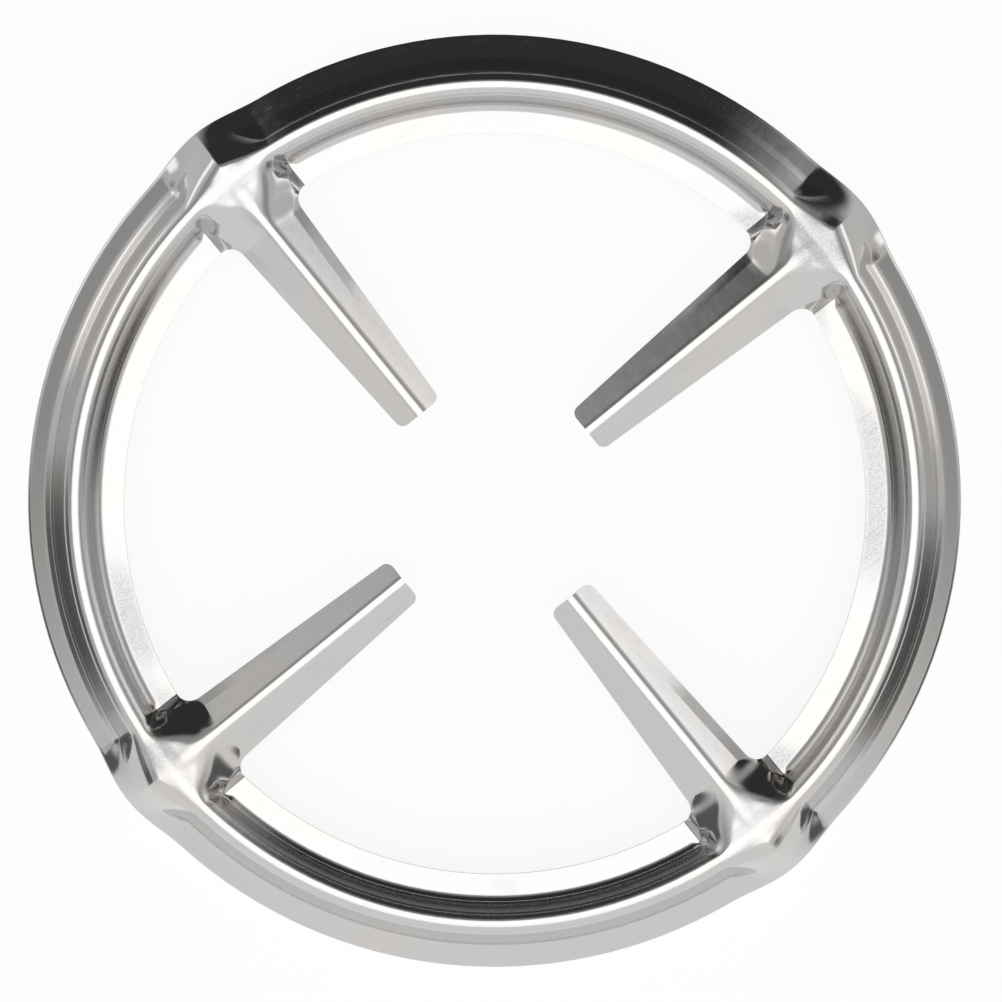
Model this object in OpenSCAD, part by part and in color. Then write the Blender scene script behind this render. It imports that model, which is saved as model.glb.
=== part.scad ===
// Stove pot stand: a round gas stove pan support, pressed from one stainless steel sheet.
// A raised ring bead stands on a turned-down rim. Four open-bottomed channel arms run inwards
// from it, and a sloping nose carries each arm's ridge line outwards to the rim.
// Frame: +Z up, origin on the base plane at the ring's axis, one arm along +X.

/* [Ring] */
// Diameter over the rim, between the arms
rim_d = 210; // [190:1:230]
// Height of the crest and of the arm ridges above the base
height = 20; // [17:0.5:26]
// Thickness of the sheet
sheet = 1; // [0.7:0.1:1.2]
// Width of the sloping flange between the rim and the outer foot
rim_w = 5.5; // [4:0.5:8]
// Height of the outer foot, where the outer wall meets the sloping flange
outer_foot_z = 3; // [2.5:0.25:5]
// Height of the turned-down edge at the rim
edge_h = 1; // [0.9:0.05:1.4]
// Radius of the bend at the turned-down edge
edge_r = 1.25; // [1.25:0.05:1.5]
// Width of the outer wall in plan, from the outer foot to the middle of the crest
outer_wall_w = 7; // [6:0.25:10]
// Width of the inner wall in plan, from the middle of the crest to the inner foot
inner_wall_w = 3.75; // [3.25:0.25:6]
// Width of the inner flange
flange_w = 6.25; // [4.5:0.25:8]
// Height of the inner flange
flange_z = 11; // [8:0.5:13]
// Width of the flat along the crest and along each ridge
flat_w = 1; // [0.6:0.1:2]
// Radius that rounds the walls over into the crest and the ridges
crest_r = 2; // [1.5:0.1:3]
// Radius of the bend at the foot of the outer wall
outer_bend_r = 3.5; // [2:0.25:4.5]
// Radius of the bend at the foot of the inner wall
inner_bend_r = 2.3; // [1.5:0.1:3]

/* [Arms] */
// Number of arms
arm_count = 4; // [3:1:6]
// Diameter of the circle on which the arm tips end
tip_d = 52; // [36:1:80]
// Width of an arm at its tip
tip_w = 10.8; // [9:0.2:14]
// Width of an arm where its edge meets the ring
root_w = 17; // [15:0.5:20]
// Radius that rounds the lower corners of a tip
tip_r = 1.8; // [0.8:0.1:2.4]
// Radius of the sheet edge between an arm and the inner flange, in plan
edge_fillet_r = 4; // [3:0.25:6]
// Radius of the top face between a ridge and the crest, in plan
top_fillet_r = 9.5; // [8:0.25:12]
// Distance from an arm's axis to the pucker where its flank meets the inner wall
pucker_y = 12.1; // [11.5:0.1:13.5]
// Slope of an arm's flanks
flank_slope = 41.5; // [38:0.5:48]
// Radius that rounds the corner between arm and ring at its top, at its widest
corner_r = 8; // [5:0.25:9]
// Slope of that corner, between the pucker and the arm's flank
corner_slope = 42; // [36:1:45]
// Radius of the hollow at the foot of that corner, at its widest
corner_foot_r = 5; // [3:0.25:6]
// Radius of the creases at the puckers and beside the lip
crease_r = 1; // [0.6:0.1:1.5]
// Width of the lip turned out along an arm's lower edge
lip_w = 2.2; // [1.5:0.1:2.6]
// Slope of that lip at the root
lip_slope = 26; // [20:1:35]
// Length over which the lip fades into the flank
lip_fade = 26; // [15:1:40]

/* [Noses] */
// Distance from an arm's axis to the dimple beside its nose
dimple_y = 12; // [10:0.5:14]
// How far a nose pushes the rim outwards
rim_bulge = 1.5; // [0:0.1:3]
// Half width of that bulge, along the rim
bulge_w = 16.5; // [14:0.5:18]
// How far the flat top reaches out over a nose
top_bulge = 2.2; // [0.5:0.1:3]
// Radius that rounds a nose over into the flat top
nose_r = 4; // [2.5:0.25:6]

/* [Hidden] */

rim_r = rim_d / 2;
outer_foot_r = rim_r - rim_w;
crest_mid_r = outer_foot_r - outer_wall_w;
inner_foot_r = crest_mid_r - inner_wall_w;
opening_r = inner_foot_r - flange_w;
tip_x = tip_d / 2;
half_flat = flat_w / 2;
outer_top_r = crest_mid_r + half_flat;
inner_top_r = crest_mid_r - half_flat;

// Angles from an arm's axis
pucker_a = asin(pucker_y / inner_foot_r);
dimple_a = asin(dimple_y / outer_foot_r);
bulge_a = bulge_w / rim_r * 180 / PI;
seam_a = max(bulge_a, pucker_a) + 2;

// Steps round each bend, and stations along each stretch
crest_steps = 3;
foot_steps = 2;
edge_steps = 2;
ring_steps = 12;
nose_steps = 8;
fan_steps = 11;
arm_steps = 6;
tip_steps = 3;

// Share of the fan in which the foot runs along the ring, before it turns at the pucker
fan_hold = 0.12;
// How the flat top's edges are paired over a nose, and the sliver that settles even pairs
flat_lean = 1.8;
tie = 0.000001;
// Tangent length that rounds the middle of a nose
nose_foot_len = 2.5;

function lerp(a, b, t) = a + (b - a) * t;
function clamp(t) = min(1, max(0, t));
function ease(t) = let (c = clamp(t)) c * c * (3 - 2 * c);
function unit(v) = v / norm(v);
function below(v) = [v[1], -v[0]];
function polar(r, a) = r * [cos(a), sin(a)];

// Slope of the line from point p that is tangent to a bend of radius r under the top face
function tangent_slope(p, r) =
    let (rise = height - r - p[1])
    atan2(rise, p[0]) + asin(r / norm([p[0], rise]));

// Tangent length of a bend of radius r between two slopes
function tangent_len(r, turn) = r * tan(turn / 2);

// Points of a true arc that rounds corner c between tangent points a and b
function bend(a, c, b, steps) =
    let (weight = norm(b - a) / 2 / max(norm(c - a), 0.000001))
    [for (k = [0:steps])
        let (
            t = k / steps,
            wa = (1 - t) * (1 - t),
            wc = 2 * t * (1 - t) * weight,
            wb = t * t
        )
        (wa * a + wc * c + wb * b) / (wa + wc + wb)];

// A section through the sheet: its start, its corners with their tangent lengths and steps,
// and its end. side is 0 for the upper face and the sheet's thickness for the lower one.
function section(corners, lens, steps, side) =
    let (
        last = len(corners) - 1,
        dirs = [for (i = [0:last - 1]) unit(corners[i + 1] - corners[i])],
        drops = [for (d = dirs) side * below(d)]
    )
    [
        for (i = [1:last - 1])
            let (
                a = corners[i] - lens[i - 1] * dirs[i - 1] + drops[i - 1],
                b = corners[i] + lens[i - 1] * dirs[i] + drops[i],
                sum = below(dirs[i - 1]) + below(dirs[i]),
                c = corners[i] + side * sum * 2 / (sum * sum)
            )
            each bend(a, c, b, steps[i - 1]),
        corners[last] + drops[last - 1]
    ];

// Outer skirt: flat top, outer wall, foot, sloping flange and turned-down edge.
// a is the angle from the arm's axis; blend is 0 on the plain ring and 1 on the nose's ridge.
function outer_top(a) = outer_top_r + top_bulge * pow(1 - clamp(abs(a) / dimple_a), 1.5);
function outer_rim(a) =
    rim_r + (abs(a) < bulge_a ? rim_bulge * (1 + cos(180 * a / bulge_a)) / 2 : 0);
function nose_blend(a) =
    let (t = clamp(abs(a) / dimple_a))
    1 - 0.12 * t - 0.88 * pow(t, 2.6);

function outer_section(a, side) =
    let (
        blend = nose_blend(a),
        start_r = outer_top(a),
        reach = outer_rim(a) - start_r,
        r = lerp(crest_r, nose_r, blend),
        edge = [reach, edge_h],
        line_slope = tangent_slope(edge, r),
        line_dir = [-cos(line_slope), sin(line_slope)],
        line_point = edge + line_dir * (outer_wall_w + rim_w) * 0.55,
        foot = lerp([outer_foot_r - start_r, outer_foot_z], line_point, blend),
        wall_slope = tangent_slope(foot, r),
        flange_slope = atan2(foot[1] - edge[1], edge[0] - foot[0]),
        crest_len = tangent_len(r, wall_slope),
        foot_len = lerp(tangent_len(outer_bend_r, wall_slope - flange_slope), nose_foot_len, blend),
        edge_len = tangent_len(edge_r, 90 - flange_slope)
    )
    [for (p = section(
            [[0, height], [crest_len, height], foot, edge, [reach, 0]],
            [crest_len, foot_len, edge_len], [crest_steps, foot_steps, edge_steps], side))
        let (q = polar(start_r + p[0], a))
        [q[0], q[1], p[1]]];

// Inner skirt on the arm's +Y side. Its stations run along three curves: the edge of the flat
// top, the foot of the wall and the edge of the sheet.
arm_dir = unit([opening_r - tip_x, (root_w - tip_w) / 2]);
arm_side = [-arm_dir[1], arm_dir[0]];
function arm_half(x) = tip_w / 2 + (x - tip_x) * arm_dir[1] / arm_dir[0];

// Centre and end points of the sheet edge's fillet
edge_off = [tip_x, tip_w / 2] * arm_side + edge_fillet_r;
edge_mid_r = opening_r - edge_fillet_r;
edge_mid = arm_side * edge_off + arm_dir * sqrt(edge_mid_r * edge_mid_r - edge_off * edge_off);
edge_a0 = atan2(edge_mid[1], edge_mid[0]);
edge_a1 = atan2(-arm_side[1], -arm_side[0]);
root_x = edge_mid[0] - edge_fillet_r * arm_side[0];

// Centre and end points of the flat top's fillet
top_mid_r = inner_top_r - top_fillet_r;
top_mid_y = half_flat + top_fillet_r;
top_mid = [sqrt(top_mid_r * top_mid_r - top_mid_y * top_mid_y), top_mid_y];
top_a0 = atan2(top_mid[1], top_mid[0]);

// Half widths of a ridge: to where its flank would meet the top face, and to its bend's end
ridge_shoulder = half_flat + tangent_len(crest_r, flank_slope);
bend_end = half_flat + crest_r * sin(flank_slope);
function flank_z(y) = height - (y - ridge_shoulder) * tan(flank_slope);

// The fan turns the ring's wall into the arm's flank round the pucker
fan_a = max(edge_a0, pucker_a, top_a0) + 0.3;
lens_top = [
    inner_top_r * (fan_a - top_a0) * PI / 180,
    top_fillet_r * (top_a0 + 90) * PI / 180,
    top_mid[0] - root_x
];
function fan_top(t) =
    let (run = t * (lens_top[0] + lens_top[1] + lens_top[2]))
    run < lens_top[0] ? polar(inner_top_r, fan_a - run / inner_top_r * 180 / PI) :
    run < lens_top[0] + lens_top[1] ?
        top_mid + polar(top_fillet_r, top_a0 - (run - lens_top[0]) / top_fillet_r * 180 / PI) :
    [top_mid[0] - (run - lens_top[0] - lens_top[1]), half_flat];

pucker = polar(inner_foot_r, pucker_a);
lip_start = [root_x, arm_half(root_x) - lip_w];
foot_knee = [root_x + lip_w, arm_half(root_x) - 0.15 * lip_w];
function fan_foot(t) =
    t < fan_hold ? polar(inner_foot_r, lerp(fan_a, pucker_a, t / fan_hold)) :
    let (f = pow((t - fan_hold) / (1 - fan_hold), 2.2))
    (1 - f) * (1 - f) * pucker + 2 * f * (1 - f) * foot_knee + f * f * lip_start;
function fan_edge(t) =
    t <= 0 ? polar(opening_r, fan_a) :
    edge_mid + polar(edge_fillet_r, lerp(edge_a0, edge_a1, (t + pow(t, 6)) / 2));

// Each station is [top, foot, edge, foot height, strip slope, bend radius, foot radius]
function ring_station(a) = [
    polar(inner_top_r, a), polar(inner_foot_r, a), polar(opening_r, a),
    flange_z, 0, crest_r, inner_bend_r
];
root_edge_z = flank_z(lip_start[1]) - lip_w * tan(lip_slope);
function fan_station(t) =
    let (
        foot = fan_foot(t),
        edge = fan_edge(t),
        slope = lerp(corner_slope * ease((t - 0.25) / 0.4), lip_slope, ease((t - 0.75) / 0.25)),
        edge_z = lerp(flange_z, root_edge_z, ease((t - 0.25) / 0.75))
    )
    [
        fan_top(t), foot, edge,
        edge_z + norm(edge - foot) * tan(slope),
        slope,
        lerp(crest_r, corner_r, ease(1 - abs(t - 0.6) / 0.4)),
        t < fan_hold ? lerp(inner_bend_r, crease_r, ease(t / fan_hold)) :
        lerp(crease_r, corner_foot_r, ease(1 - abs(2 * (t - fan_hold) / (1 - fan_hold) - 1)))
    ];
function arm_station(x) =
    let (
        inset = clamp((x - tip_x) / tip_r),
        half = arm_half(x) - tip_r * (1 - sqrt(1 - (1 - inset) * (1 - inset))),
        foot = half - min(lip_w, (half - bend_end) / 2)
    )
    [
        [x, half_flat], [x, foot], [x, half],
        flank_z(foot),
        lerp(lip_slope, flank_slope, ease((root_x - x) / lip_fade)),
        crest_r, crease_r
    ];

stations = [
    ring_station(seam_a),
    for (k = [0:fan_steps]) fan_station(k / fan_steps),
    for (k = [1:arm_steps]) arm_station(lerp(root_x, tip_x + tip_r, k / arm_steps)),
    for (k = [1:tip_steps]) arm_station(tip_x + tip_r * (1 - sin(90 * k / tip_steps)))
];

function inner_section(s, hand, side) =
    let (
        run = norm(s[1] - s[0]),
        strip = norm(s[2] - s[1]),
        foot = [run, s[3]],
        wall_slope = tangent_slope(foot, s[5]),
        crest_len = tangent_len(s[5], wall_slope),
        foot_len = tangent_len(s[6], max(wall_slope - s[4], 20)),
        end = foot + strip * [1, -tan(s[4])]
    )
    [for (p = section(
            [[0, height], [crest_len, height], foot, end],
            [crest_len, foot_len], [crest_steps, foot_steps], side))
        let (
            q = p[0] <= run ?
                lerp(s[0], s[1], p[0] / run) :
                lerp(s[1], s[2], (p[0] - run) / strip)
        )
        [q[0], hand * q[1], p[1]]];

// Rows of sections round the whole ring, one block for each arm and the stretch after it
pitch = 360 / arm_count;
stretch = pitch - 2 * seam_a;
nose_angles = [for (k = [-nose_steps:nose_steps])
    let (t = k / nose_steps)
    seam_a * sign(t) * pow(abs(t), 1.15)];
ring_angles = [for (k = [1:ring_steps - 1]) seam_a + stretch * k / ring_steps];
count = len(stations);
nose_rows = len(nose_angles);
arm_rows = 2 * count;
block_o = nose_rows + ring_steps - 1;
block_i = arm_rows + ring_steps - 1;

function turn(points, a) = [for (p = points)
    [p[0] * cos(a) - p[1] * sin(a), p[0] * sin(a) + p[1] * cos(a), p[2]]];
function outer_rows(side) = [
    for (k = [0:arm_count - 1]) for (a = concat(nose_angles, ring_angles))
        turn(abs(a) < seam_a ? outer_section(a, side) :
            turn(outer_section(seam_a, side), a - seam_a), k * pitch)
];
function inner_rows(side) = [
    for (k = [0:arm_count - 1]) each [
        for (s = [0:count - 1]) turn(inner_section(stations[s], -1, side), k * pitch),
        for (s = [count - 1:-1:0]) turn(inner_section(stations[s], 1, side), k * pitch),
        for (a = ring_angles)
            turn(inner_section(stations[0], 1, side), k * pitch + a - seam_a)
    ]
];

// Triangles that fill the strip between two rows of vertices, clockwise where the rows run
// anticlockwise. A lean above 1 keeps the outer ends near the start of their row.
function zip(outer_row, inner_row, lean) =
    let (m = len(outer_row) - 1, k = len(inner_row) - 1)
    [
        for (u = [0:m - 1])
            [outer_row[u + 1], outer_row[u],
                inner_row[ceil(pow((u + 0.5) / m, 1 / lean) * k - 0.5 - tie)]],
        for (v = [0:k - 1])
            [inner_row[v], inner_row[v + 1],
                outer_row[floor(pow((v + 0.5) / k, lean) * m + 0.5 + tie)]]
    ];
function flipped(faces) = [for (f = faces) [f[2], f[1], f[0]]];
function split(q) = [[q[0], q[1], q[2]], [q[0], q[2], q[3]]];

// The whole sheet as one closed skin: the outer and the inner skirt, above and below,
// the sheet's edges, and the flat top between the two skirts
module sheet_skin() {
    outer = concat(outer_rows(0), outer_rows(sheet));
    inner = concat(inner_rows(0), inner_rows(sheet));
    rows_o = block_o * arm_count;
    rows_i = block_i * arm_count;
    cols_o = len(outer[0]);
    cols_i = len(inner[0]);
    end_o = cols_o - 1;
    end_i = cols_i - 1;
    ridge = fan_steps + 1;

    // Vertex numbers: face 0 is the upper face and face 1 the lower one
    function outer_at(face, row, col) = (face * rows_o + row % rows_o) * cols_o + col;
    function inner_at(face, row, col) =
        2 * rows_o * cols_o + (face * rows_i + row % rows_i) * cols_i + col;
    function outer_tops(face, first, last) =
        [for (r = [first:sign(last - first):last]) outer_at(face, r, 0)];
    function inner_tops(face, first, last) =
        [for (r = [first:sign(last - first):last]) inner_at(face, r, 0)];

    // Flat top of one arm, its nose and the ring up to the next one, clockwise from above
    function flat_top(face, row_o, row_i) =
        let (
            nose_mid = row_o + nose_steps,
            nose_end = row_o + nose_rows - 1,
            arm_end = row_i + arm_rows - 1
        )
        concat(
            flipped(zip(outer_tops(face, nose_mid, row_o),
                inner_tops(face, row_i + ridge, row_i), flat_lean)),
            zip(outer_tops(face, nose_mid, nose_end),
                inner_tops(face, arm_end - ridge, arm_end), flat_lean),
            [[outer_at(face, nose_mid, 0), inner_at(face, row_i + ridge, 0),
                inner_at(face, arm_end - ridge, 0)]],
            [for (s = [ridge:count - 2]) each split([
                inner_at(face, row_i + s, 0), inner_at(face, row_i + s + 1, 0),
                inner_at(face, arm_end - s - 1, 0), inner_at(face, arm_end - s, 0)])],
            zip(outer_tops(face, nose_end, nose_end + ring_steps),
                inner_tops(face, arm_end, arm_end + ring_steps), 1)
        );

    strips_i = [for (j = [0:rows_i - 1]) if (j % block_i != count - 1) j];
    skirts = [
        for (i = [0:rows_o - 1]) for (u = [0:end_o - 1]) each concat(
            split([outer_at(0, i, u), outer_at(0, i + 1, u),
                outer_at(0, i + 1, u + 1), outer_at(0, i, u + 1)]),
            split([outer_at(1, i, u), outer_at(1, i, u + 1),
                outer_at(1, i + 1, u + 1), outer_at(1, i + 1, u)])),
        for (j = strips_i) for (v = [0:end_i - 1]) each concat(
            split([inner_at(0, j, v), inner_at(0, j, v + 1),
                inner_at(0, j + 1, v + 1), inner_at(0, j + 1, v)]),
            split([inner_at(1, j, v), inner_at(1, j + 1, v),
                inner_at(1, j + 1, v + 1), inner_at(1, j, v + 1)]))
    ];
    edges = [
        for (i = [0:rows_o - 1]) each split([
            outer_at(0, i, end_o), outer_at(0, i + 1, end_o),
            outer_at(1, i + 1, end_o), outer_at(1, i, end_o)]),
        for (j = strips_i) each split([
            inner_at(0, j + 1, end_i), inner_at(0, j, end_i),
            inner_at(1, j, end_i), inner_at(1, j + 1, end_i)])
    ];
    tips = [for (k = [0:arm_count - 1]) let (j = k * block_i + count - 1) each concat(
        split([inner_at(0, j, 0), inner_at(1, j, 0), inner_at(1, j + 1, 0), inner_at(0, j + 1, 0)]),
        [for (v = [0:end_i - 1]) each concat(
            split([inner_at(0, j, v), inner_at(0, j, v + 1),
                inner_at(1, j, v + 1), inner_at(1, j, v)]),
            split([inner_at(0, j + 1, v), inner_at(1, j + 1, v),
                inner_at(1, j + 1, v + 1), inner_at(0, j + 1, v + 1)]))]
    )];
    flats = [for (k = [0:arm_count - 1]) each concat(
        flat_top(0, k * block_o, k * block_i),
        flipped(flat_top(1, k * block_o, k * block_i)))];
    polyhedron([for (row = concat(outer, inner)) each row],
        concat(skirts, edges, tips, flats), convexity = 12);
}

module pan_support() {
    color("gainsboro")
        sheet_skin();
}

pan_support();
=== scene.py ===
"""Looks of the stove pot stand. The pressed sheet is drawn again from its own sizes as one fine,
smooth skin of polished stainless steel, in a grey studio with a white panel overhead.
Sizes of the sheet are in millimetres, as on its drawing, and become metres in the mesh."""
import math

import bpy
import numpy as np
from mathutils import Matrix, Vector


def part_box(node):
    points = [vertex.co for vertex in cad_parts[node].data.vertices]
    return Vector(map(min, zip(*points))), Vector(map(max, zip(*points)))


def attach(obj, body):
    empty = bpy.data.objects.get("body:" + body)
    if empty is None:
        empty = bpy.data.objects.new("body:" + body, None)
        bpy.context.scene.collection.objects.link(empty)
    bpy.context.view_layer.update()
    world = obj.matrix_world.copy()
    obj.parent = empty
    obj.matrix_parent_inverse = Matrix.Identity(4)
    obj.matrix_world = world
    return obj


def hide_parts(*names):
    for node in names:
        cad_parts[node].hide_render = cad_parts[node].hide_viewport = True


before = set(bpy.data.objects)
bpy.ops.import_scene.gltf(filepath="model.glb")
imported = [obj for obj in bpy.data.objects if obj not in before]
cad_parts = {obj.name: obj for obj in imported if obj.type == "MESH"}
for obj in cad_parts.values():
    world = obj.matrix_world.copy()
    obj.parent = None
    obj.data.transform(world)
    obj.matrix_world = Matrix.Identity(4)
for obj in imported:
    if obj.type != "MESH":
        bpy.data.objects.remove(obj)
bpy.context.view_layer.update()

NODE = "pan_support"
MM = 0.001

# Ring: its height and width are read from the frame's box, the rest is as drawn
low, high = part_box(NODE)
HEIGHT = (high[2] - low[2]) / MM
RIM_BULGE = 1.5
RIM_R = (high[0] - low[0]) / 2 / MM - RIM_BULGE
SHEET = 1.0
RIM_W = 5.5
OUTER_FOOT_Z = 3.0
EDGE_H = 1.0
EDGE_R = 1.25
OUTER_WALL_W = 7.0
INNER_WALL_W = 3.75
FLANGE_W = 6.25
FLANGE_Z = 11.0
HALF_FLAT = 0.5
CREST_R = 2.0
OUTER_BEND_R = 3.5
INNER_BEND_R = 2.3

# Arms
ARM_COUNT = 4
TIP_X = 26.0
TIP_HALF = 5.4
ROOT_HALF = 8.5
TIP_R = 1.8
EDGE_FILLET_R = 4.0
TOP_FILLET_R = 9.5
PUCKER_Y = 12.1
CORNER_R = 8.0
CORNER_FOOT_R = 5.0
CORNER_SLOPE = math.radians(42)
CREASE_R = 1.0
FLANK_SLOPE = math.radians(41.5)
LIP_W = 2.2
LIP_SLOPE = math.radians(26)
LIP_FADE = 26.0

# Noses: sizes, how their form fades out to the sides, and the share of wall and flange at which
# their straight line is taken
DIMPLE_Y = 12.0
BULGE_W = 16.5
TOP_BULGE = 2.2
TOP_BULGE_POWER = 1.5
NOSE_R = 4.0
NOSE_FOOT_LEN = 3.2
NOSE_ROUND = 2.4
NOSE_FALL = 1.25
NOSE_LINE_SHARE = 0.55
FLANGE_SAG = 0.035

# Crown of the flat top: its radius across a ridge, its most beside a ridge and in the corners
# between arm and crest, how far those corners reach, and the heights between which it dies away.
# FLAT_EDGE is the length from which the flat top's edges are halved.
CROWN_R = 9.0
RIDGE_MOST = 0.1
CORNER_MOST = 0.4
CORNER_REACH = 7.0
CROWN_LOW = 14.0
CROWN_HIGH = 19.0
FLAT_EDGE = 2.0
FLAT_PASSES = 4

# How far the flat top's triangles lean towards a nose's axis, and what settles a tie there
FLAT_LEAN = 1.8
TIE = 1e-6

# Fan of sections in the corner between ring and arm. Shares of its length: where the foot leaves
# the ring, where and over what share the flank tilts, where the lip starts, and where the bend is
# roundest and how far that reaches. Then the powers that spread foot and edge along it, how far
# the foot's knee lies in from the arm's edge as a share of the lip, and the foot's least turn.
FAN_HOLD = 0.12
FAN_TILT = 0.25
FAN_TILT_LEN = 0.4
FAN_LIP = 0.75
FAN_ROUND = 0.6
FAN_ROUND_LEN = 0.4
FAN_FOOT_POWER = 2.2
FAN_EDGE_POWER = 6
KNEE_IN = 0.15
FOOT_TURN_LEAST = math.radians(20)

# Gaps between the bearings at which nose, corner and plain ring begin
SEAM_GAP = math.radians(2)
FAN_GAP = math.radians(0.3)

# Steps of the fine skin, and how much a nose's sections crowd towards its axis
CREST_STEPS = 9
FOOT_STEPS = 7
EDGE_STEPS = 6
WALL_STEPS = 7
FLANGE_STEPS = 5
LIP_STEPS = 2
RING_STEPS = 30
NOSE_STEPS = 36
NOSE_CROWD = 1.15
FAN_START_STEPS = 3
FAN_STEPS = 40
ARM_STEPS = 26
TIP_STEPS = 8

# Guards against division by nothing
NO_LENGTH = 1e-9
NO_AREA = 1e-12

OUTER_FOOT_R = RIM_R - RIM_W
CREST_MID_R = OUTER_FOOT_R - OUTER_WALL_W
INNER_FOOT_R = CREST_MID_R - INNER_WALL_W
OPENING_R = INNER_FOOT_R - FLANGE_W
OUTER_TOP_R = CREST_MID_R + HALF_FLAT
INNER_TOP_R = CREST_MID_R - HALF_FLAT
PITCH = 2 * math.pi / ARM_COUNT


def lerp(a, b, t):
    return a + (b - a) * t


def clamp(t):
    return min(1.0, max(0.0, t))


def ease(t):
    c = clamp(t)
    return c * c * (3 - 2 * c)


def polar(r, a):
    return np.array([r * math.cos(a), r * math.sin(a)])


def unit(v):
    return v / np.linalg.norm(v)


def below(v):
    return np.array([v[1], -v[0]])


def tangent_slope(reach, z, r):
    """Slope of the line from (reach, z) that touches a bend of radius r under the top face."""
    rise = HEIGHT - r - z
    return math.atan2(rise, reach) + math.asin(r / math.hypot(reach, rise))


def tangent_len(r, turn):
    return r * math.tan(turn / 2)


PUCKER_A = math.asin(PUCKER_Y / INNER_FOOT_R)
DIMPLE_A = math.asin(DIMPLE_Y / OUTER_FOOT_R)
BULGE_A = BULGE_W / RIM_R
SEAM_A = max(BULGE_A, PUCKER_A) + SEAM_GAP


def bend(a, c, b, steps):
    """A true arc that rounds corner c between the tangent points a and b."""
    weight = np.linalg.norm(b - a) / 2 / max(np.linalg.norm(c - a), NO_LENGTH)
    t = np.linspace(0, 1, steps + 1)[:, None]
    wa, wc, wb = (1 - t) ** 2, 2 * t * (1 - t) * weight, t * t
    return (wa * a + wc * c + wb * b) / (wa + wc + wb)


def section(corners, lens, bend_steps, flat_steps, side):
    """A section along the sheet's upper face for side 0, or its lower face for side SHEET."""
    corners = [np.array(c, float) for c in corners]
    dirs = [unit(b - a) for a, b in zip(corners, corners[1:])]
    drops = [side * below(d) for d in dirs]
    points = []
    for i in range(1, len(corners) - 1):
        a = corners[i] - lens[i - 1] * dirs[i - 1] + drops[i - 1]
        b = corners[i] + lens[i - 1] * dirs[i] + drops[i]
        total = below(dirs[i - 1]) + below(dirs[i])
        c = corners[i] + side * total * 2 / (total @ total)
        arc = bend(a, c, b, bend_steps[i - 1])
        points.extend(arc)
        end = corners[i + 1] + drops[i]
        steps = flat_steps[i - 1]
        shares = range(1, steps + 1)
        if i < len(corners) - 2:
            end = end - lens[i] * dirs[i]
            shares = range(1, steps)
        points.extend(lerp(arc[-1], end, k / steps) for k in shares)
    return np.array(points)


def outer_top(a):
    return OUTER_TOP_R + TOP_BULGE * (1 - clamp(abs(a) / DIMPLE_A)) ** TOP_BULGE_POWER


def outer_rim(a):
    if abs(a) >= BULGE_A:
        return RIM_R
    return RIM_R + RIM_BULGE * (1 + math.cos(math.pi * a / BULGE_A)) / 2


def nose_blend(a):
    """1 on a nose's axis, 0 where the plain ring begins."""
    t = clamp(abs(a) / DIMPLE_A)
    return (1 - t**NOSE_ROUND) ** NOSE_FALL


def outer_section(a, side):
    """Section from the crest out to the rim's edge, at bearing a from a nose's axis."""
    blend = nose_blend(a)
    start_r = outer_top(a)
    reach = outer_rim(a) - start_r
    r = lerp(CREST_R, NOSE_R, blend)
    edge = np.array([reach, EDGE_H])
    line_slope = tangent_slope(reach, EDGE_H, r)
    line_dir = np.array([-math.cos(line_slope), math.sin(line_slope)])
    line_point = edge + line_dir * (OUTER_WALL_W + RIM_W) * NOSE_LINE_SHARE
    foot = lerp(np.array([OUTER_FOOT_R - start_r, OUTER_FOOT_Z]), line_point, blend)
    wall_slope = tangent_slope(foot[0], foot[1], r)
    flange_slope = math.atan2(foot[1] - edge[1], edge[0] - foot[0])
    lens = [
        tangent_len(r, wall_slope),
        lerp(tangent_len(OUTER_BEND_R, wall_slope - flange_slope), NOSE_FOOT_LEN, blend),
        tangent_len(EDGE_R, math.pi / 2 - flange_slope),
    ]
    pts = section(
        [(0, HEIGHT), (lens[0], HEIGHT), foot, edge, (reach, 0)],
        lens,
        (CREST_STEPS, FOOT_STEPS, EDGE_STEPS),
        (WALL_STEPS, FLANGE_STEPS, LIP_STEPS),
        side,
    )
    flange = np.clip((pts[:, 0] - foot[0]) / (edge[0] - foot[0]), 0, 1)
    sag = FLANGE_SAG * (1 - blend) * 4 * flange * (1 - flange)
    pts[:, 1] = np.maximum(pts[:, 1] - sag, 0)
    out = np.empty((len(pts), 3))
    out[:, 0] = (start_r + pts[:, 0]) * math.cos(a)
    out[:, 1] = (start_r + pts[:, 0]) * math.sin(a)
    out[:, 2] = pts[:, 1]
    return out


# The arm's straight edge, and the fillet between it and the opening's edge
ARM_DIR = unit(np.array([OPENING_R - TIP_X, ROOT_HALF - TIP_HALF]))
ARM_SIDE = np.array([-ARM_DIR[1], ARM_DIR[0]])
EDGE_OFF = np.array([TIP_X, TIP_HALF]) @ ARM_SIDE + EDGE_FILLET_R
EDGE_MID_R = OPENING_R - EDGE_FILLET_R
EDGE_MID = ARM_SIDE * EDGE_OFF + ARM_DIR * math.sqrt(EDGE_MID_R**2 - EDGE_OFF**2)
EDGE_A0 = math.atan2(EDGE_MID[1], EDGE_MID[0])
EDGE_A1 = math.atan2(-ARM_SIDE[1], -ARM_SIDE[0])
ROOT_X = EDGE_MID[0] - EDGE_FILLET_R * ARM_SIDE[0]

# The fillet of the flat top between the ridge and the crest
TOP_MID_Y = HALF_FLAT + TOP_FILLET_R
TOP_MID = np.array([math.sqrt((INNER_TOP_R - TOP_FILLET_R) ** 2 - TOP_MID_Y**2), TOP_MID_Y])
TOP_A0 = math.atan2(TOP_MID[1], TOP_MID[0])

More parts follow.
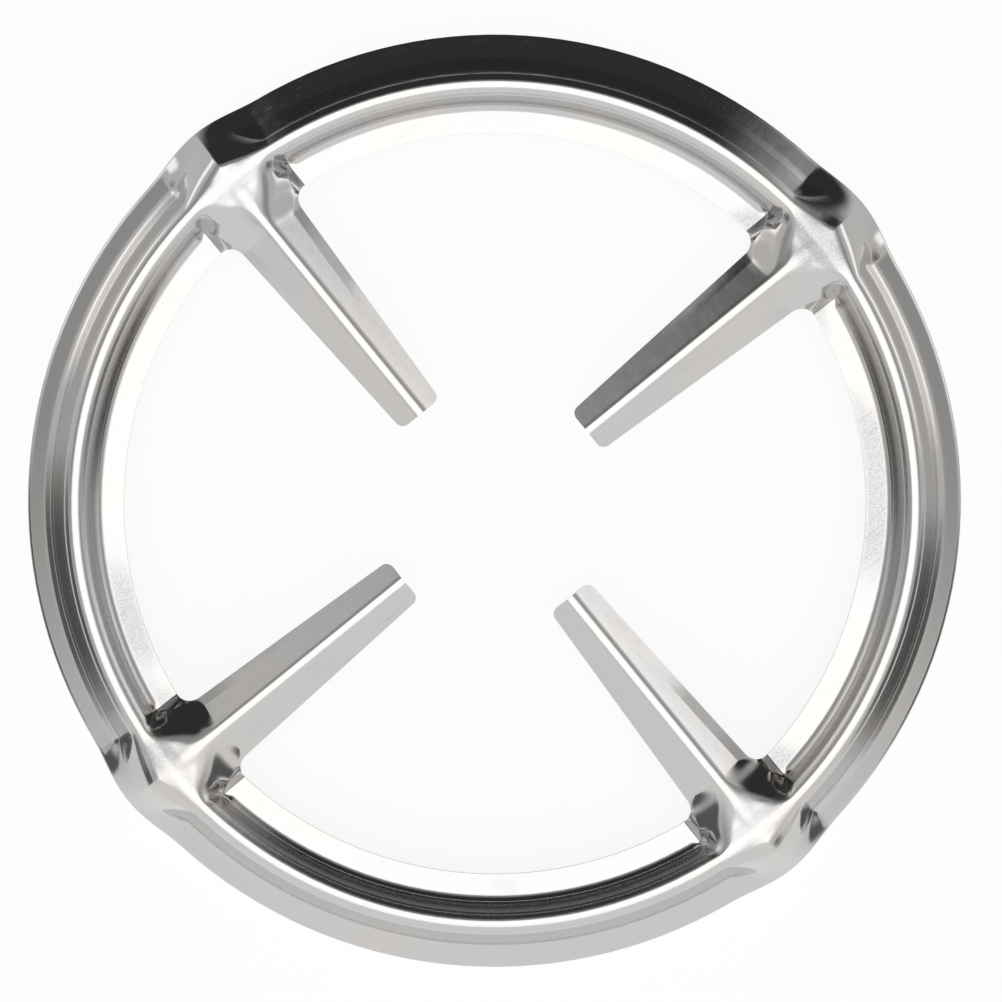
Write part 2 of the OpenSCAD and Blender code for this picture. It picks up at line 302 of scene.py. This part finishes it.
RIDGE_SHOULDER = HALF_FLAT + tangent_len(CREST_R, FLANK_SLOPE)
BEND_END = HALF_FLAT + CREST_R * math.sin(FLANK_SLOPE)
FAN_A = max(EDGE_A0, PUCKER_A, TOP_A0) + FAN_GAP


def arm_half(x):
    return TIP_HALF + (x - TIP_X) * ARM_DIR[1] / ARM_DIR[0]


def flank_z(y):
    return HEIGHT - (y - RIDGE_SHOULDER) * math.tan(FLANK_SLOPE)


def fan_top(t):
    """Where the section at share t of the corner leaves the flat top."""
    on_crest = INNER_TOP_R * (FAN_A - TOP_A0)
    on_fillet = TOP_FILLET_R * (TOP_A0 + math.pi / 2)
    run = t * (on_crest + on_fillet + TOP_MID[0] - ROOT_X)
    if run < on_crest:
        return polar(INNER_TOP_R, FAN_A - run / INNER_TOP_R)
    if run < on_crest + on_fillet:
        return TOP_MID + polar(TOP_FILLET_R, TOP_A0 - (run - on_crest) / TOP_FILLET_R)
    return np.array([TOP_MID[0] - (run - on_crest - on_fillet), HALF_FLAT])


PUCKER = polar(INNER_FOOT_R, PUCKER_A)
LIP_START = np.array([ROOT_X, arm_half(ROOT_X) - LIP_W])
FOOT_KNEE = np.array([ROOT_X + LIP_W, arm_half(ROOT_X) - KNEE_IN * LIP_W])


def fan_foot(t):
    """Where the wall meets the flange, then the flank meets the lip."""
    if t < FAN_HOLD:
        return polar(INNER_FOOT_R, lerp(FAN_A, PUCKER_A, t / FAN_HOLD))
    f = ((t - FAN_HOLD) / (1 - FAN_HOLD)) ** FAN_FOOT_POWER
    return (1 - f) ** 2 * PUCKER + 2 * f * (1 - f) * FOOT_KNEE + f * f * LIP_START


def fan_edge(t):
    """Where the sheet's edge runs, round the opening's fillet."""
    if t <= 0:
        return polar(OPENING_R, FAN_A)
    share = (t + t**FAN_EDGE_POWER) / 2
    return EDGE_MID + polar(EDGE_FILLET_R, lerp(EDGE_A0, EDGE_A1, share))


# A station gives one inner section: its top, foot and edge in plan, the foot's height, the slope
# from foot to edge, and the radii of the upper and the lower bend
def ring_station(a):
    top, foot, edge = (polar(r, a) for r in (INNER_TOP_R, INNER_FOOT_R, OPENING_R))
    return top, foot, edge, FLANGE_Z, 0.0, CREST_R, INNER_BEND_R


ROOT_EDGE_Z = flank_z(LIP_START[1]) - LIP_W * math.tan(LIP_SLOPE)


def fan_station(t):
    foot, edge = fan_foot(t), fan_edge(t)
    tilt = CORNER_SLOPE * ease((t - FAN_TILT) / FAN_TILT_LEN)
    slope = lerp(tilt, LIP_SLOPE, ease((t - FAN_LIP) / (1 - FAN_LIP)))
    edge_z = lerp(FLANGE_Z, ROOT_EDGE_Z, ease((t - FAN_TILT) / (1 - FAN_TILT)))
    foot_z = edge_z + np.linalg.norm(edge - foot) * math.tan(slope)
    if t < FAN_HOLD:
        foot_r = lerp(INNER_BEND_R, CREASE_R, ease(t / FAN_HOLD))
    else:
        off_middle = abs(2 * (t - FAN_HOLD) / (1 - FAN_HOLD) - 1)
        foot_r = lerp(CREASE_R, CORNER_FOOT_R, ease(1 - off_middle))
    top_r = lerp(CREST_R, CORNER_R, ease(1 - abs(t - FAN_ROUND) / FAN_ROUND_LEN))
    return fan_top(t), foot, edge, foot_z, slope, top_r, foot_r


def arm_station(x):
    inset = clamp((x - TIP_X) / TIP_R)
    half = arm_half(x) - TIP_R * (1 - math.sqrt(1 - (1 - inset) ** 2))
    foot = half - min(LIP_W, (half - BEND_END) / 2)
    slope = lerp(LIP_SLOPE, FLANK_SLOPE, ease((ROOT_X - x) / LIP_FADE))
    plan = (np.array([x, y]) for y in (HALF_FLAT, foot, half))
    return *plan, flank_z(foot), slope, CREST_R, CREASE_R


def inner_section(station, hand, side):
    """Section from the flat top in to the opening or the arm's edge; hand is -1 for its mirror."""
    top, foot_xy, edge_xy, foot_z, strip_slope, r, foot_r = station
    run = np.linalg.norm(foot_xy - top)
    strip = np.linalg.norm(edge_xy - foot_xy)
    foot = np.array([run, foot_z])
    wall_slope = tangent_slope(run, foot_z, r)
    foot_turn = max(wall_slope - strip_slope, FOOT_TURN_LEAST)
    lens = [tangent_len(r, wall_slope), tangent_len(foot_r, foot_turn)]
    end = foot + strip * np.array([1, -math.tan(strip_slope)])
    pts = section(
        [(0, HEIGHT), (lens[0], HEIGHT), foot, end],
        lens, (CREST_STEPS, FOOT_STEPS), (WALL_STEPS, FLANGE_STEPS), side,
    )
    out = np.empty((len(pts), 3))
    for i, (s, z) in enumerate(pts):
        if s <= run:
            x, y = lerp(top, foot_xy, s / run)
        else:
            x, y = lerp(foot_xy, edge_xy, (s - run) / strip)
        out[i] = x, hand * y, z
    return out


def turned(points, a):
    c, s = math.cos(a), math.sin(a)
    return points @ np.array([[c, s, 0], [-s, c, 0], [0, 0, 1]])


def zip_rows(outer_row, inner_row, lean):
    """Triangles between two rows; a lean above 1 keeps the outer ends near the row's start."""
    m, k = len(outer_row) - 1, len(inner_row) - 1
    faces = []
    for u in range(m):
        v = math.ceil(((u + 0.5) / m) ** (1 / lean) * k - 0.5 - TIE)
        faces.append((outer_row[u + 1], outer_row[u], inner_row[v]))
    for v in range(k):
        u = math.floor(((v + 0.5) / k) ** lean * m + 0.5 + TIE)
        faces.append((inner_row[v], inner_row[v + 1], outer_row[u]))
    return faces


def sheet_skin():
    """The whole sheet: outer and inner skirt above and below, sheet edges and flat top."""
    stretch = PITCH - 2 * SEAM_A
    nose = [
        SEAM_A * math.copysign(abs(k / NOSE_STEPS) ** NOSE_CROWD, k)
        for k in range(-NOSE_STEPS, NOSE_STEPS + 1)
    ]
    ring = [SEAM_A + stretch * k / RING_STEPS for k in range(1, RING_STEPS)]
    fan = [
        ring_station(lerp(SEAM_A, FAN_A, k / FAN_START_STEPS)) for k in range(FAN_START_STEPS)
    ]
    fan += [fan_station(k / FAN_STEPS) for k in range(FAN_STEPS + 1)]
    arm = [lerp(ROOT_X, TIP_X + TIP_R, k / ARM_STEPS) for k in range(1, ARM_STEPS + 1)]
    arm += [
        TIP_X + TIP_R * (1 - math.sin(math.pi / 2 * k / TIP_STEPS)) for k in range(1, TIP_STEPS + 1)
    ]
    stations = fan + [arm_station(x) for x in arm]
    count = len(stations)

    outer, inner = [], []
    for side in (0, SHEET):
        seam_o = outer_section(SEAM_A, side)
        seam_i = inner_section(stations[0], 1, side)
        block_outer = [outer_section(a, side) for a in nose]
        block_outer += [turned(seam_o, a - SEAM_A) for a in ring]
        block_inner = [inner_section(s, -1, side) for s in stations]
        block_inner += [inner_section(s, 1, side) for s in reversed(stations)]
        block_inner += [turned(seam_i, a - SEAM_A) for a in ring]
        for skirt, block in ((outer, block_outer), (inner, block_inner)):
            skirt.append([turned(p, k * PITCH) for k in range(ARM_COUNT) for p in block])
    outer, inner = np.array(outer), np.array(inner)
    rows_o, cols_o = outer.shape[1:3]
    rows_i, cols_i = inner.shape[1:3]
    block_o, block_i = rows_o // ARM_COUNT, rows_i // ARM_COUNT

    # Vertices of the outer and the inner skirt: face 0 is above and 1 below, then the section's
    # place round the ring, then the point's place down the section
    def o(face, i, u):
        return (face * rows_o + i % rows_o) * cols_o + u

    def n(face, j, v):
        return 2 * rows_o * cols_o + (face * rows_i + j % rows_i) * cols_i + v

    upper, lower, edges, flats = [], [], [], []
    strips_i = [j for j in range(rows_i) if j % block_i != count - 1]
    for i in range(rows_o):
        for u in range(cols_o - 1):
            upper.append((o(0, i, u), o(0, i, u + 1), o(0, i + 1, u + 1), o(0, i + 1, u)))
            lower.append((o(1, i, u), o(1, i + 1, u), o(1, i + 1, u + 1), o(1, i, u + 1)))
        end = cols_o - 1
        edges.append((o(0, i, end), o(1, i, end), o(1, i + 1, end), o(0, i + 1, end)))
    for j in strips_i:
        for v in range(cols_i - 1):
            upper.append((n(0, j, v), n(0, j + 1, v), n(0, j + 1, v + 1), n(0, j, v + 1)))
            lower.append((n(1, j, v), n(1, j, v + 1), n(1, j + 1, v + 1), n(1, j + 1, v)))
        end = cols_i - 1
        edges.append((n(0, j, end), n(0, j + 1, end), n(1, j + 1, end), n(1, j, end)))
    for k in range(ARM_COUNT):
        j = k * block_i + count - 1
        for v in range(cols_i - 1):
            edges.append((n(0, j, v), n(1, j, v), n(1, j, v + 1), n(0, j, v + 1)))
            edges.append((n(0, j + 1, v), n(0, j + 1, v + 1), n(1, j + 1, v + 1), n(1, j + 1, v)))
        edges.append((n(0, j, 0), n(0, j + 1, 0), n(1, j + 1, 0), n(1, j, 0)))
        i0, j0 = k * block_o, k * block_i
        i1, j1 = i0 + len(nose) - 1, j0 + 2 * count - 1
        mid, ridge = i0 + NOSE_STEPS, len(fan) - 1
        for face in (0, 1):
            def row(at, first, last):
                step = 1 if last > first else -1
                return [at(face, r, 0) for r in range(first, last + step, step)]

            top = [f[::-1] for f in zip_rows(row(o, mid, i0), row(n, j0 + ridge, j0), FLAT_LEAN)]
            top += zip_rows(row(o, mid, i1), row(n, j1 - ridge, j1), FLAT_LEAN)
            top.append((o(face, mid, 0), n(face, j0 + ridge, 0), n(face, j1 - ridge, 0)))
            for s in range(ridge, count - 1):
                spots = j0 + s, j0 + s + 1, j1 - s - 1, j1 - s
                top.append(tuple(n(face, spot, 0) for spot in spots))
            top += zip_rows(row(o, i1, i1 + RING_STEPS), row(n, j1, j1 + RING_STEPS), 1)
            flats += [f if face else f[::-1] for f in top]
    points = np.concatenate([outer.reshape(-1, 3), inner.reshape(-1, 3)])
    return points, upper, lower, edges, flats


def crown(points):
    """How far the sheet is lowered at each point: not along ridges and crest, more beside them."""
    radius = np.hypot(points[:, 0], points[:, 1])
    bearing = np.arctan2(points[:, 1], points[:, 0])
    off_axis = (bearing + PITCH / 2) % PITCH - PITCH / 2
    across_arm = (radius * np.sin(off_axis)) ** 2
    across_crest = (radius - CREST_MID_R) ** 2
    apart = across_arm * across_crest / np.maximum(across_arm + across_crest, NO_AREA)
    height = np.clip((points[:, 2] - CROWN_LOW) / (CROWN_HIGH - CROWN_LOW), 0, 1)
    corner = np.exp(-(across_arm + across_crest) / (2 * CORNER_REACH**2))
    most = RIDGE_MOST + (CORNER_MOST - RIDGE_MOST) * corner
    fall = most * np.tanh(apart / (2 * CROWN_R * most))
    return fall * height * height * (3 - 2 * height)


def crown_normals(points):
    """Normals of the crowned flat top, from the crown's own slopes."""
    step = 0.01
    normals = np.ones_like(points)
    for axis in (0, 1):
        shift = np.zeros(3)
        shift[axis] = step
        normals[:, axis] = (crown(points + shift) - crown(points - shift)) / (2 * step)
    return normals / np.linalg.norm(normals, axis=1)[:, None]


def split_quad(face):
    return [face] if len(face) == 3 else [face[:3], (face[0], *face[2:])]


def sides(face):
    return zip(face, face[1:] + face[:1])


def refine(points, faces):
    """Halves the inner edges of the flat triangles that are longer than FLAT_EDGE, by passes."""
    points = points.tolist()
    faces = [t for f in faces for t in split_quad(f)]
    for _ in range(FLAT_PASSES):
        uses = {}
        for f in faces:
            for a, b in sides(f):
                uses[min(a, b), max(a, b)] = uses.get((min(a, b), max(a, b)), 0) + 1
        middles = {}
        for (a, b), count in uses.items():
            if count == 2 and math.dist(points[a], points[b]) > FLAT_EDGE:
                middles[a, b] = len(points)
                points.append([(u + v) / 2 for u, v in zip(points[a], points[b])])
        halved = []
        for f in faces:
            ring = []
            for a, b in sides(f):
                ring.append(a)
                if (min(a, b), max(a, b)) in middles:
                    ring.append(middles[min(a, b), max(a, b)])
            corners = set(f)
            while len(ring) > 3:
                # Cut off the corner that leaves the shortest edge, and never join two old corners
                cuts = []
                for i in range(len(ring)):
                    before, here, after = ring[i - 1], ring[i], ring[(i + 1) % len(ring)]
                    if here in corners and not {before, after} <= corners:
                        cuts.append((math.dist(points[before], points[after]), i))
                i = min(cuts)[1]
                halved.append((ring[i - 1], ring[i], ring[(i + 1) % len(ring)]))
                ring.pop(i)
            halved.append(tuple(ring))
        faces = halved
    return np.array(points), faces


def smooth_normals(points, faces):
    """Vertex normals of one side of the skin, weighted by the areas of its quads."""
    quads = np.array(faces)
    a, b, c, d = (points[quads[:, corner]] for corner in range(4))
    area = np.cross(c - a, d - b)
    total = np.zeros_like(points)
    for corner in range(4):
        np.add.at(total, quads[:, corner], area)
    length = np.linalg.norm(total, axis=1)[:, None]
    return total / np.maximum(length, NO_AREA)


def make_stand():
    """The stand's mesh, with split normals that are smooth on the skin and flat on its edges."""
    points, upper, lower, edges, flats = sheet_skin()
    points, flats = refine(points, flats)
    flat_normals = crown_normals(points)
    points[:, 2] -= crown(points)
    faces = upper + lower + edges + flats
    mesh = bpy.data.meshes.new("stand_sheet")
    mesh.from_pydata((points * MM).tolist(), [], faces)
    mesh.polygons.foreach_set("use_smooth", [True] * len(faces))
    mesh.validate()
    mesh.update()
    up, down = smooth_normals(points, upper), smooth_normals(points, lower)
    on_flats = list({v for f in flats for v in f})
    up[on_flats] = flat_normals[on_flats]
    down[on_flats] = -flat_normals[on_flats]
    normals = np.zeros((len(mesh.loops), 3))
    first_edge = len(upper) + len(lower)
    first_flat = first_edge + len(edges)
    for p in mesh.polygons:
        if p.index < len(upper):
            table = up
        elif p.index < first_edge:
            table = down
        elif p.index >= first_flat:
            table = up if p.normal.z > 0 else down
        else:
            table = None
        for loop in p.loop_indices:
            vertex = mesh.loops[loop].vertex_index
            normals[loop] = p.normal if table is None else table[vertex]
    mesh.normals_split_custom_set(normals.tolist())
    stand = bpy.data.objects.new("pressed_stand", mesh)
    bpy.context.scene.collection.objects.link(stand)
    return stand


class Nodes:
    """Adds linked nodes to a tree. A value is a number, a colour or another node's output."""

    # The Mix node's colour sockets, whose names it also gives to its other kinds
    UNDER, OVER, MIXED = 6, 7, 2

    def __init__(self, tree):
        self.nodes, self.links = tree.nodes, tree.links

    def put(self, target, value):
        if isinstance(value, bpy.types.NodeSocket):
            self.links.new(value, target)
        else:
            target.default_value = value

    def math(self, operation, *values):
        node = self.nodes.new("ShaderNodeMath")
        node.operation = operation
        for target, value in zip(node.inputs, values):
            self.put(target, value)
        return node.outputs[0]

    def times(self, *values):
        return self.math("MULTIPLY", *values)

    def vector_math(self, operation, *values):
        node = self.nodes.new("ShaderNodeVectorMath")
        node.operation = operation
        for target, value in zip(node.inputs, values):
            self.put(target, value)
        return node.outputs

    def between(self, value, lo, hi):
        """A smooth step from 0 at lo to 1 at hi, which may be the lower of the two."""
        node = self.nodes.new("ShaderNodeMapRange")
        node.interpolation_type = "SMOOTHSTEP"
        self.put(node.inputs["Value"], value)
        node.inputs["From Min"].default_value = lo
        node.inputs["From Max"].default_value = hi
        return node.outputs["Result"]

    def lay_over(self, share, under, over):
        node = self.nodes.new("ShaderNodeMix")
        node.data_type = "RGBA"
        self.put(node.inputs["Factor"], share)
        self.put(node.inputs[self.UNDER], under)
        self.put(node.inputs[self.OVER], over)
        return node.outputs[self.MIXED]

    def noise(self, vector, scale, detail=2.0):
        node = self.nodes.new("ShaderNodeTexNoise")
        node.inputs["Scale"].default_value = scale
        node.inputs["Detail"].default_value = detail
        self.put(node.inputs["Vector"], vector)
        return node.outputs["Fac"]

    def stretched(self, vector, turn, along, across):
        """Coordinates turned about Z, in which noise is long one way and short across."""
        node = self.nodes.new("ShaderNodeMapping")
        node.inputs["Rotation"].default_value = (0, 0, turn)
        node.inputs["Scale"].default_value = (along, across, across)
        self.put(node.inputs["Vector"], vector)
        return node.outputs["Vector"]


# Polished steel: its two tints and the darker tone of the brushed patches, which is painted shade,
# and the roughness that each state adds
COOL_TINT = (0.655, 0.663, 0.672, 1)
WARM_TINT = (0.69, 0.668, 0.645, 1)
BRUSHED_SHADE_TONE = (0.48, 0.49, 0.51, 1)
ROUGH = 0.085
ROUGH_BRUSHED = 0.16
ROUGH_WALL = 0.16
ROUGH_SCRATCHED = 0.15

# Its marks. Scales are per metre, levels are where the noise starts and ends to show.
TINT_SCALE = 30
TINT_LEVELS = (0.4, 0.62)
LINE_SCALE = 1400
LINE_ALONG = 0.06
LINE_DETAIL = 3
LINE_HEIGHT = 0.25
PATCH_SCALE = 22
PATCH_LEVELS = (0.53, 0.62)
GRAIN_TURN = 0.9
GRAIN_SCALES = (1700, 4200)
GRAIN_DETAIL = 3
GRAIN_LEVELS = (0.3, 0.75)
SCRATCH_TURNS = (0.5, 1.7, 2.6)
SCRATCH_SCALES = (60, 3600)
SCRATCH_DETAIL = 1
SCRATCH_LEVELS = (0.71, 0.76)
SCRATCH_DEPTH = 0.08
RIPPLE_SCALE = 260
BUMP_STRENGTH = 0.12
BUMP_HEIGHT = 0.0002

# Where they fade in, in mm from a named radius or height; the last is |x y| in square metres,
# which is small near the noses' axes
RING_FROM_OPENING = (-1, 1)
FLANGE_FROM_FOOT = (-1.2, -2.2)
FLANGE_FROM_ABOVE = (0.5, 0.1)
TOP_FROM_BELOW = (-0.5, -0.2)
TOP_FROM_OPENING = (1, 5)
WALL_FROM_FOOT = (-0.8, 0.6)
WALL_FROM_CREST = (-0.2, -1.4)
NEAR_AXES = (0.0009, 0.0006)


def polished_steel():
    """Polished stainless steel with drawing lines, brushed patches whose darker tone is painted
    shade, fine scratches and tints.
    """
    mat = bpy.data.materials.new("polished_steel")
    mat.use_nodes = True
    add = Nodes(mat.node_tree)
    bsdf = add.nodes["Principled BSDF"]
    bsdf.inputs["Metallic"].default_value = 1.0
    place = add.nodes.new("ShaderNodeTexCoord").outputs["Object"]
    parts = add.nodes.new("ShaderNodeSeparateXYZ")
    add.put(parts.inputs[0], place)
    x, y, z = parts.outputs
    radius = add.math("SQRT", add.math("ADD", add.times(x, x), add.times(y, y)))

    def fade(value, base, span):
        return add.between(value, (base + span[0]) * MM, (base + span[1]) * MM)

    # Drawing lines: noise that varies across the ring and hardly along it
    ring_place = add.nodes.new("ShaderNodeCombineXYZ")
    add.put(ring_place.inputs[0], radius)
    add.put(ring_place.inputs[1], add.times(x, LINE_ALONG))
    add.put(ring_place.inputs[2], add.times(y, LINE_ALONG))
    on_ring = fade(radius, OPENING_R, RING_FROM_OPENING)
    lines = add.times(add.noise(ring_place.outputs[0], LINE_SCALE, LINE_DETAIL), on_ring)

    # Brushed patches: grainy areas on the inner flange and on the flat top, whose darker grey is
    # painted shade laid over a real grain
    on_flange = add.times(fade(radius, INNER_FOOT_R, FLANGE_FROM_FOOT), on_ring)
    on_flange = add.times(on_flange, fade(z, FLANGE_Z, FLANGE_FROM_ABOVE))
    near_noses = add.between(add.math("ABSOLUTE", add.times(x, y)), *NEAR_AXES)
    on_top = add.times(fade(z, HEIGHT, TOP_FROM_BELOW), near_noses)
    on_top = add.times(on_top, fade(radius, OPENING_R, TOP_FROM_OPENING))
    areas = add.between(add.noise(place, PATCH_SCALE), *PATCH_LEVELS)
    brushed_and_shaded = add.times(areas, add.math("MAXIMUM", on_flange, on_top))
    grain = add.noise(add.stretched(place, GRAIN_TURN, *GRAIN_SCALES), 1, GRAIN_DETAIL)
    grain = add.between(grain, *GRAIN_LEVELS)

    # Fine scratches in three directions
    scratches = 0.0
    for turn in SCRATCH_TURNS:
        mark = add.noise(add.stretched(place, turn, *SCRATCH_SCALES), 1, SCRATCH_DETAIL)
        scratches = add.math("MAXIMUM", scratches, add.between(mark, *SCRATCH_LEVELS))

    warm = add.between(add.noise(place, TINT_SCALE), *TINT_LEVELS)
    tint = add.lay_over(warm, COOL_TINT, WARM_TINT)
    # The grainy patches take the darker grey: painted shade on the flat top and the inner flange
    colour = add.lay_over(add.times(brushed_and_shaded, grain), tint, BRUSHED_SHADE_TONE)
    add.put(bsdf.inputs["Base Color"], colour)

    # The drawn inner wall is duller than the rest
    on_wall = fade(radius, INNER_FOOT_R, WALL_FROM_FOOT)
    on_wall = add.times(on_wall, fade(radius, INNER_TOP_R, WALL_FROM_CREST))
    rough = add.math("ADD", ROUGH, add.times(brushed_and_shaded, ROUGH_BRUSHED))
    rough = add.math("ADD", rough, add.times(on_wall, ROUGH_WALL))
    rough = add.math("ADD", rough, add.times(scratches, ROUGH_SCRATCHED))
    add.put(bsdf.inputs["Roughness"], rough)

    height = add.math("ADD", add.noise(place, RIPPLE_SCALE), add.times(lines, LINE_HEIGHT))
    height = add.math("SUBTRACT", height, add.times(scratches, SCRATCH_DEPTH))
    bump = add.nodes.new("ShaderNodeBump")
    bump.inputs["Strength"].default_value = BUMP_STRENGTH
    bump.inputs["Distance"].default_value = BUMP_HEIGHT
    add.put(bump.inputs["Height"], height)
    add.put(bsdf.inputs["Normal"], bump.outputs["Normal"])
    return mat


# Picture: its width in pixels, the angle of the +X arm in it, the camera's distance in mm and its
# tilt, the mm that a pixel covers, and the pixel at which the stand's axis is
PICTURE = 1002
ARM_ANGLE = math.radians(39.1)
CAMERA_D = 850.0
SENSOR = 36
PIXEL = 0.2251
TILT_UP = math.radians(2.08)
TILT_LEFT = math.radians(0.35)
AXIS_X = 494.8
AXIS_Y = 502.7
RIGHT = Vector((math.cos(ARM_ANGLE), -math.sin(ARM_ANGLE), 0))
UP = Vector((math.sin(ARM_ANGLE), math.cos(ARM_ANGLE), 0))


def make_camera():
    aim = RIGHT * (PICTURE / 2 - AXIS_X) * PIXEL * MM - UP * (PICTURE / 2 - AXIS_Y) * PIXEL * MM
    tilted = Vector((0, 0, 1)) + UP * math.tan(TILT_UP) - RIGHT * math.tan(TILT_LEFT)
    back = tilted.normalized()
    right = (RIGHT - back * RIGHT.dot(back)).normalized()
    up = back.cross(right)
    data = bpy.data.cameras.new("camera")
    data.sensor_width = SENSOR
    data.lens = SENSOR * CAMERA_D / (PICTURE * PIXEL)
    camera = bpy.data.objects.new("camera", data)
    place = Matrix((right, up, back)).transposed().to_4x4()
    place.translation = aim + back * CAMERA_D * MM
    camera.matrix_world = place
    bpy.context.scene.collection.objects.link(camera)
    bpy.context.scene.camera = camera


# Studio round the stand: a plain grey surround with soft boxes and dark flags in it, each laid
# over the ones before, and then the white panel overhead. Bearings in degrees from the picture's
# right, anticlockwise; heights as the sine of the elevation.
SURROUND = 0.6
STUDIO = (
    # name, bearing, half width, soft edge, lowest, highest, light
    ("front wall", 270, 60, 30, -1.0, 1.0, 0.85),
    ("upper walls", 90, 120, 45, 0.6, 0.87, 0.36),
    ("ceiling's right side", 0, 70, 30, 0.88, 1.0, 1.0),
    ("back wall", 95, 45, 20, 0.82, 1.0, 0.3),
    ("flag behind", 89, 38, 8, -0.87, 0.82, 0.035),
    ("box on the right", 25, 15, 8, -0.3, 0.2, 1.3),
    ("box on the left", 152, 8, 8, -0.3, 0.2, 1.3),
    ("flag on the left", 194, 13, 8, -0.35, 0.5, 0.12),
    ("flag on the right", 340, 11, 8, -0.35, 0.5, 0.12),
)
HEIGHT_SOFT = 0.1
PANEL_LOW = 0.93
PANEL_START = 0.992
PANEL_LIGHT = 1.5


def grey(tone):
    return (tone, tone, tone, 1)


def sky():
    """The studio as the world's light; the camera sees white behind the floor."""
    world = bpy.data.worlds.new("studio")
    bpy.context.scene.world = world
    world.use_nodes = True
    world.node_tree.nodes.clear()
    add = Nodes(world.node_tree)
    out = add.nodes.new("ShaderNodeOutputWorld")
    background = add.nodes.new("ShaderNodeBackground")
    add.put(out.inputs[0], background.outputs[0])

    direction = add.nodes.new("ShaderNodeTexCoord").outputs["Generated"]
    height = add.vector_math("DOT_PRODUCT", direction, (0, 0, 1))["Value"]
    level = add.vector_math("MULTIPLY", direction, (1, 1, 0))["Vector"]
    level = add.vector_math("NORMALIZE", level)["Vector"]
    light = grey(SURROUND)
    for _, bearing, half_width, soft, lowest, highest, strength in STUDIO:
        aim = RIGHT * math.cos(math.radians(bearing)) + UP * math.sin(math.radians(bearing))
        facing = add.vector_math("DOT_PRODUCT", level, tuple(aim))["Value"]
        dark, lit = (math.cos(math.radians(half_width + s)) for s in (soft, -soft))
        share = add.between(facing, dark, lit)
        if lowest > -1:
            rise = add.between(height, lowest - HEIGHT_SOFT, lowest + HEIGHT_SOFT)
            share = add.times(share, rise)
        if highest < 1:
            rise = add.between(height, highest - HEIGHT_SOFT, highest + HEIGHT_SOFT)
            share = add.times(share, add.math("SUBTRACT", 1.0, rise))
        light = add.lay_over(share, light, grey(strength))
    light = add.lay_over(add.between(height, PANEL_LOW, PANEL_START), light, grey(PANEL_LIGHT))
    path = add.nodes.new("ShaderNodeLightPath")
    light = add.lay_over(path.outputs["Is Camera Ray"], light, grey(1.0))
    add.put(background.inputs["Color"], light)


# Floor: half its side in metres, its finish, and the white glow that the camera sees on it, which
# leaves the stand's shadow
FLOOR_HALF = 3.0
FLOOR_TONE = 0.9
FLOOR_ROUGHNESS = 0.9
FLOOR_SPECULAR = 0.1
FLOOR_GLOW = 1.1
FLOOR_GLOW_SHARE = 0.8


def make_floor():
    """The white floor, which reflections in the steel pass through to the studio."""
    mesh = bpy.data.meshes.new("floor")
    corners = [(FLOOR_HALF * x, FLOOR_HALF * y, 0) for x, y in ((-1, -1), (1, -1), (1, 1), (-1, 1))]
    mesh.from_pydata(corners, [], [(0, 1, 2, 3)])
    floor = bpy.data.objects.new("floor", mesh)
    bpy.context.scene.collection.objects.link(floor)
    mat = bpy.data.materials.new("floor_white")
    mat.use_nodes = True
    add = Nodes(mat.node_tree)
    bsdf = add.nodes["Principled BSDF"]
    bsdf.inputs["Base Color"].default_value = grey(FLOOR_TONE)
    bsdf.inputs["Roughness"].default_value = FLOOR_ROUGHNESS
    bsdf.inputs["Specular IOR Level"].default_value = FLOOR_SPECULAR
    glow = add.nodes.new("ShaderNodeEmission")
    glow.inputs["Strength"].default_value = FLOOR_GLOW
    clear = add.nodes.new("ShaderNodeBsdfTransparent")
    path = add.nodes.new("ShaderNodeLightPath")

    def mix(share, under, over):
        node = add.nodes.new("ShaderNodeMixShader")
        for target, value in zip(node.inputs, (share, under.outputs[0], over.outputs[0])):
            add.put(target, value)
        return node

    seen = mix(add.times(path.outputs["Is Camera Ray"], FLOOR_GLOW_SHARE), bsdf, glow)
    surface = mix(path.outputs["Is Glossy Ray"], seen, clear)
    add.put(add.nodes["Material Output"].inputs["Surface"], surface.outputs[0])
    mesh.materials.append(mat)


bpy.context.scene.view_settings.view_transform = "Standard"
make_camera()
stand = make_stand()
stand.data.materials.append(polished_steel())
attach(stand, "root")
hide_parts(NODE)
make_floor()
sky()
